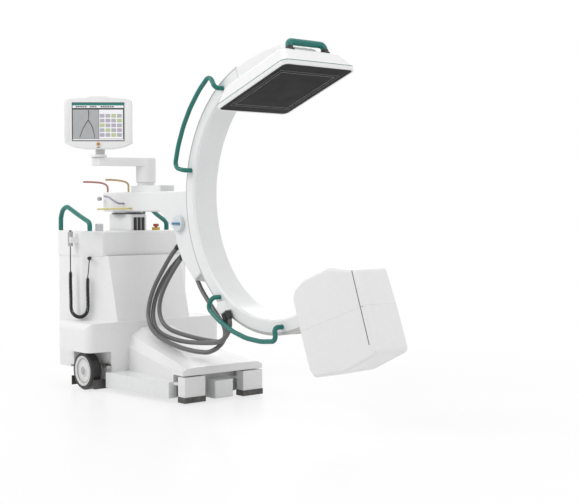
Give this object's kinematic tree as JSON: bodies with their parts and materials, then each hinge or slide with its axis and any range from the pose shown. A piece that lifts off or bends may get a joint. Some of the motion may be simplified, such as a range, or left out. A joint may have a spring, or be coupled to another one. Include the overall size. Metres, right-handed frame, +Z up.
{
  "type": "mobile c-arm x-ray",
  "caption": "Mobile fluoroscopy C-arm on a wheeled trolley: flat detector over an x-ray generator on a C, cross arm, lift column, swing monitor, hoses and hand switch.",
  "frame": {"origin": "on the floor under the middle of the whole stand", "axes": "+X from the trolley to the C's open side, +Z up, +Y to the left, monitor on the right"},
  "size_m": [2.157, 0.8, 1.6252],
  "materials": {
    "white_paint": "smooth white powder coat",
    "white_casting": "white powder coat on a casting",
    "white_plastic": "smooth moulded cover",
    "grey_rail": "anodised rail",
    "steel": "ground steel",
    "teal_grip": "smooth green grip",
    "black_plastic": "fine texture",
    "black_panel": "black carbon cover",
    "black_rubber": "soft cord jacket",
    "grey_hose": "ribbed hose jacket",
    "dark_frame": "grey enamel",
    "red": "sleeve",
    "tan": "sleeve",
    "violet": "sleeve",
    "yellow": "sleeve",
    "blue": "knob",
    "wheel_tyre": "tread and white disc",
    "screen_glass": "flat display"
  },
  "bodies": {
    "trolley": {"chassis": "white_casting", "base_cover": "white_plastic", "foot_cover": "white_plastic", "body_shell": "white_plastic", "head_shell": "white_plastic", "outer_column": "grey_rail", "lift_spindle": "steel", "push_bow_left": "teal_grip", "push_bow_right": "teal_grip", "stop_base": "yellow", "switch_holder": "white_plastic", "hand_switch": "black_plastic", "curly_cord": "black_rubber", "switch_lead": "black_rubber", "gland_lead": "black_rubber", "cord_gland": "black_plastic", "deflectors": "black_plastic", "caster_covers": "white_plastic", "key_switch": "dark_frame"},
    "lift": {"lift_column": "white_paint", "swivel_disc": "steel"},
    "arm": {"arm_housing": "white_casting", "monitor_post": "white_paint"},
    "slide": {"reach_slide": "steel"},
    "carrier": {"carriage": "white_casting", "guide_shoe": "steel", "hose_loop": "grey_hose", "hose_outer": "grey_hose", "hose_inner": "grey_hose"},
    "carrier_knob": {"carriage_knob": "blue"},
    "c_frame": {"c_arc": "white_casting", "guide_rail": "grey_rail", "grab_bar_upper": "teal_grip", "grab_bar_lower": "teal_grip", "detector_rim": "white_plastic", "detector_panel": "black_panel", "detector_housing": "white_plastic", "detector_fairing": "white_plastic", "detector_handle": "teal_grip", "generator_upper": "white_plastic", "generator_lower": "white_plastic", "xray_tube": "steel", "hose_clamp": "white_plastic"},
    "boom": {"monitor_boom": "white_plastic"},
    "neck": {"monitor_neck": "white_plastic"},
    "monitor": {"monitor_housing": "white_plastic", "screen": "screen_glass"},
    "red_lever": {"lever_red": "red"},
    "tan_lever": {"lever_tan": "tan"},
    "violet_lever": {"lever_violet": "violet"},
    "yellow_lever": {"lever_yellow": "yellow"},
    "stop_head": {"stop_button": "red"},
    "switch_key": {"switch_button": "black_plastic"},
    "pedal": {"brake_pedal": "steel"},
    "wheel_left": {"rear_wheel_left": "wheel_tyre"},
    "wheel_right": {"rear_wheel_right": "wheel_tyre"},
    "fork_left": {"caster_fork_left": "steel"},
    "fork_right": {"caster_fork_right": "steel"},
    "roller_left": {"caster_wheel_left": "wheel_tyre"},
    "roller_right": {"caster_wheel_right": "wheel_tyre"}
  },
  "joints": [
    {"name": "lift", "type": "slide", "parent": "trolley", "child": "lift", "axis": [0, 0, 1], "range_m": [0, 0.42]},
    {"name": "swivel", "type": "hinge", "parent": "lift", "child": "arm", "pos_m": [-0.87, 0, 0.889], "axis": [0, 0, 1], "range_deg": [-10, 10]},
    {"name": "reach", "type": "slide", "parent": "arm", "child": "slide", "axis": [1, 0, 0], "range_m": [0, 0.2]},
    {"name": "angulation", "type": "hinge", "parent": "slide", "child": "carrier", "pos_m": [-0.458, 0, 0.937], "axis": [1, 0, 0], "range_deg": [-180, 180]},
    {"name": "orbital", "type": "hinge", "parent": "carrier", "child": "c_frame", "pos_m": [0.372, 0, 0.966], "axis": [0, -1, 0], "range_deg": [-40, 65], "deforming": ["hose_outer", "hose_inner"]},
    {"name": "carriage_knob_turn", "type": "hinge", "parent": "carrier", "child": "carrier_knob", "pos_m": [-0.304, -0.07, 0.83], "axis": [0, -1, 0], "range_deg": [-90, 90]},
    {"name": "boom_swing", "type": "hinge", "parent": "arm", "child": "boom", "pos_m": [-0.696, 0, 1.1], "axis": [0, 0, 1], "range_deg": [-40, 110]},
    {"name": "monitor_pan", "type": "hinge", "parent": "boom", "child": "neck", "pos_m": [-0.77544, -0.23071, 1.167], "axis": [0, 0, 1], "range_deg": [-60, 100]},
    {"name": "monitor_tilt", "type": "hinge", "parent": "neck", "child": "monitor", "pos_m": [-0.82293, -0.19085, 1.232], "axis": [0.6428, 0.766, 0], "range_deg": [-15, 20]},
    {"name": "red_brake", "type": "hinge", "parent": "arm", "child": "red_lever", "pos_m": [-1.012, -0.034, 0.99], "axis": [0, 0, 1], "range_deg": [-35, 35]},
    {"name": "tan_brake", "type": "hinge", "parent": "arm", "child": "tan_lever", "pos_m": [-0.808, -0.034, 0.99], "axis": [0, 0, 1], "range_deg": [-35, 35]},
    {"name": "violet_brake", "type": "hinge", "parent": "arm", "child": "violet_lever", "pos_m": [-0.818, -0.06, 0.928], "axis": [0, 1, 0], "range_deg": [-20, 20]},
    {"name": "yellow_brake", "type": "hinge", "parent": "arm", "child": "yellow_lever", "pos_m": [-0.746, -0.06, 0.902], "axis": [0, 1, 0], "range_deg": [-9, 0]},
    {"name": "stop_press", "type": "slide", "parent": "trolley", "child": "stop_head", "axis": [0, 0, -1], "range_m": [0, 0.0045]},
    {"name": "switch_press", "type": "slide", "parent": "trolley", "child": "switch_key", "axis": [0, 0, -1], "range_m": [0, 0.003], "stiffness_N_per_m": 600},
    {"name": "pedal_press", "type": "hinge", "parent": "trolley", "child": "pedal", "pos_m": [-0.69, -0.28, 0.136], "axis": [0, 1, 0], "range_deg": [-4, 6]},
    {"name": "wheel_left_spin", "type": "hinge", "parent": "trolley", "child": "wheel_left", "pos_m": [-0.737, 0.326, 0.095], "axis": [0, 1, 0], "continuous": true},
    {"name": "wheel_right_spin", "type": "hinge", "parent": "trolley", "child": "wheel_right", "pos_m": [-0.737, -0.326, 0.095], "axis": [0, 1, 0], "continuous": true},
    {"name": "caster_left_swivel", "type": "hinge", "parent": "trolley", "child": "fork_left", "pos_m": [-0.09, 0.17, 0.09], "axis": [0, 0, 1], "continuous": true},
    {"name": "caster_left_spin", "type": "hinge", "parent": "fork_left", "child": "roller_left", "pos_m": [-0.102, 0.17, 0.036], "axis": [0, 1, 0], "continuous": true},
    {"name": "caster_right_swivel", "type": "hinge", "parent": "trolley", "child": "fork_right", "pos_m": [-0.09, -0.17, 0.09], "axis": [0, 0, 1], "continuous": true},
    {"name": "caster_right_spin", "type": "hinge", "parent": "fork_right", "child": "roller_right", "pos_m": [-0.102, -0.17, 0.036], "axis": [0, 1, 0], "continuous": true}
  ]
}
